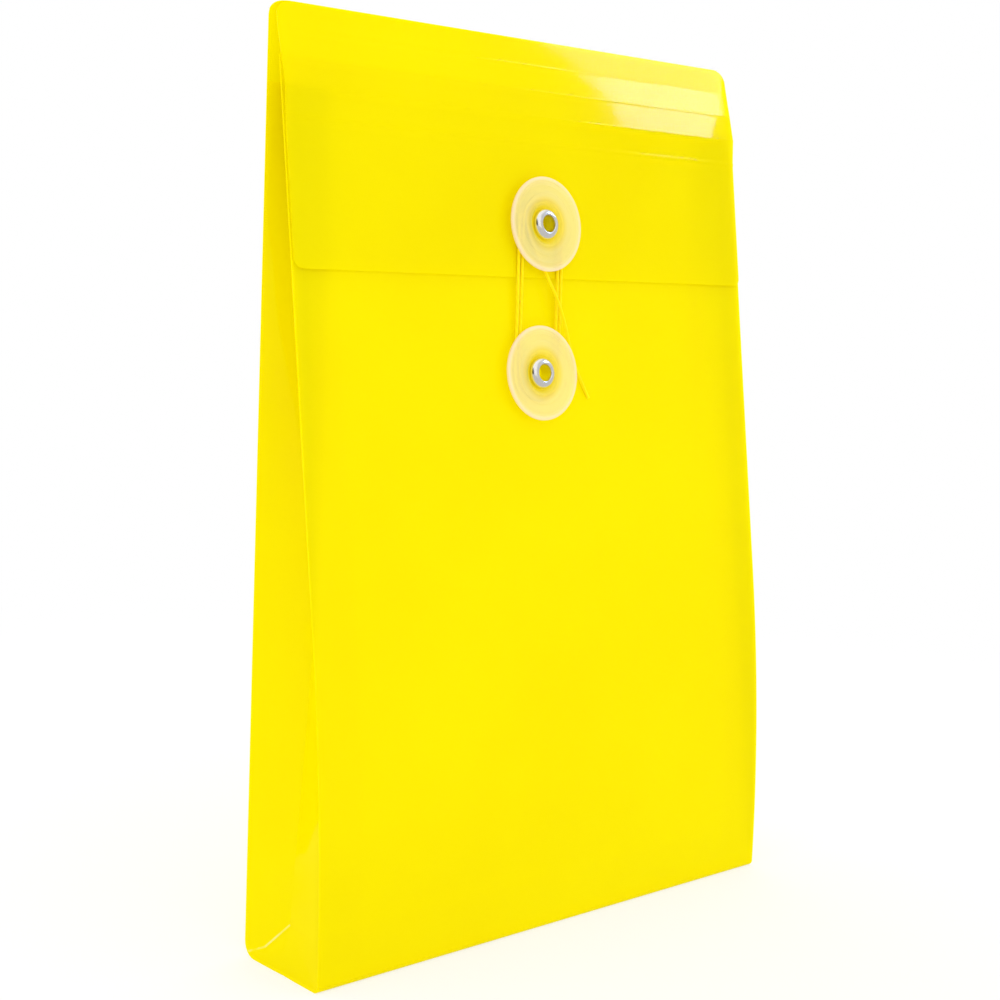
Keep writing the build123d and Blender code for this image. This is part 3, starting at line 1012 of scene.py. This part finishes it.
world = bpy.data.worlds.new("studio")
bpy.context.scene.world = world
world.use_nodes = True
tree = world.node_tree
path = add(tree, "LightPath").outputs
toward = add(tree, "SeparateXYZ", {"Vector": add(tree, "TexCoord").outputs["Generated"]})
mirrored = None
for axis, dim_from, bright_from in bright_sides:
    side = add(tree, "MapRange", {
        "Value": toward.outputs[axis],
        "From Min": dim_from,
        "From Max": bright_from,
        "To Min": dim_room,
        "To Max": 1.0,
    })
    joined = side.outputs["Result"]
    if mirrored:
        joined = add(tree, "Math", {0: mirrored, 1: joined}, operation="MAXIMUM").outputs["Value"]
    mirrored = joined
black = add(tree, "MapRange", {
    "Value": toward.outputs["X"],
    "From Min": black_full,
    "From Max": black_from,
    "To Min": black_level,
    "To Max": 1.0,
})
mirrored = add(tree, "Math", {0: mirrored, 1: black.outputs["Result"]}, operation="MULTIPLY").outputs["Value"]
lit = add(tree, "Mix", {"Factor": mirror_ray(tree, path), "A": even_light, "B": mirrored})
level = add(tree, "Mix", {"Factor": seen_ray(tree, path), "A": lit.outputs["Result"], "B": 1.0})
tree.links.new(level.outputs["Result"], tree.nodes["Background"].inputs["Strength"])
tree.nodes["Background"].inputs["Color"].default_value = linear("#ffffff")

# Gloss panels: two sheets of diffuser cloth, lit from behind, that show only as gloss on the film and metal.
# They hang where the spine's right end mirrors them, and their edges bound the gloss at the flap's top right.
panel_distance = 1.2
mirror_spot = Vector((60 * mm, ridge.y - 3 * mm, mouth_up + 2 * mm))
spine_out = Vector((0, -math.cos(strip_angles[1]), math.sin(strip_angles[1])))
sight = (mirror_spot - camera_place).normalized()
mirror_aim = sight - spine_out * (2 * sight.dot(spine_out))
mirror_centre = mirror_spot + mirror_aim * panel_distance
mirror_left = mirror_aim.cross(Vector((0, 0, 1))).normalized()
mirror_up = mirror_left.cross(mirror_aim)
gloss_glow = 44.0
overhead_glow = 19.0
gloss_outline = (
    (84, 79), (64, 33), (80, 6), (73, -22), (60, -110),
    (20, -110), (-4, -64), (-45, -44), (-60, -40), (-60, -10),
)
overhead_outline = ((130, 207), (61, 96), (56, 80), (-160, -68), (-160, 207))


def gloss_panel(name, outline, glow):
    """A cool glowing panel that only gloss shows, its outline in mm on the plane that the spine mirrors."""
    corners = [mirror_centre + mirror_left * (left * mm) + mirror_up * (up * mm) for left, up in outline]
    start_line(name, corners[0])
    draw_through(corners)
    bpy.ops.mesh.edge_face_add()
    bpy.ops.object.mode_set(mode="OBJECT")
    panel = bpy.context.object
    panel.visible_camera = False
    panel.visible_diffuse = False
    panel.visible_transmission = False
    panel.visible_shadow = False
    cloth = bpy.data.materials.new(name + "_diffuser_cloth")
    cloth.use_nodes = True
    tree = cloth.node_tree
    lamp = add(tree, "Emission", {"Color": linear("#95bcff"), "Strength": glow})
    tree.links.new(lamp.outputs["Emission"], tree.nodes["Material Output"].inputs["Surface"])
    panel.data.materials.append(cloth)


gloss_panel("gloss_panel", gloss_outline, gloss_glow)
gloss_panel("overhead_panel", overhead_outline, overhead_glow)
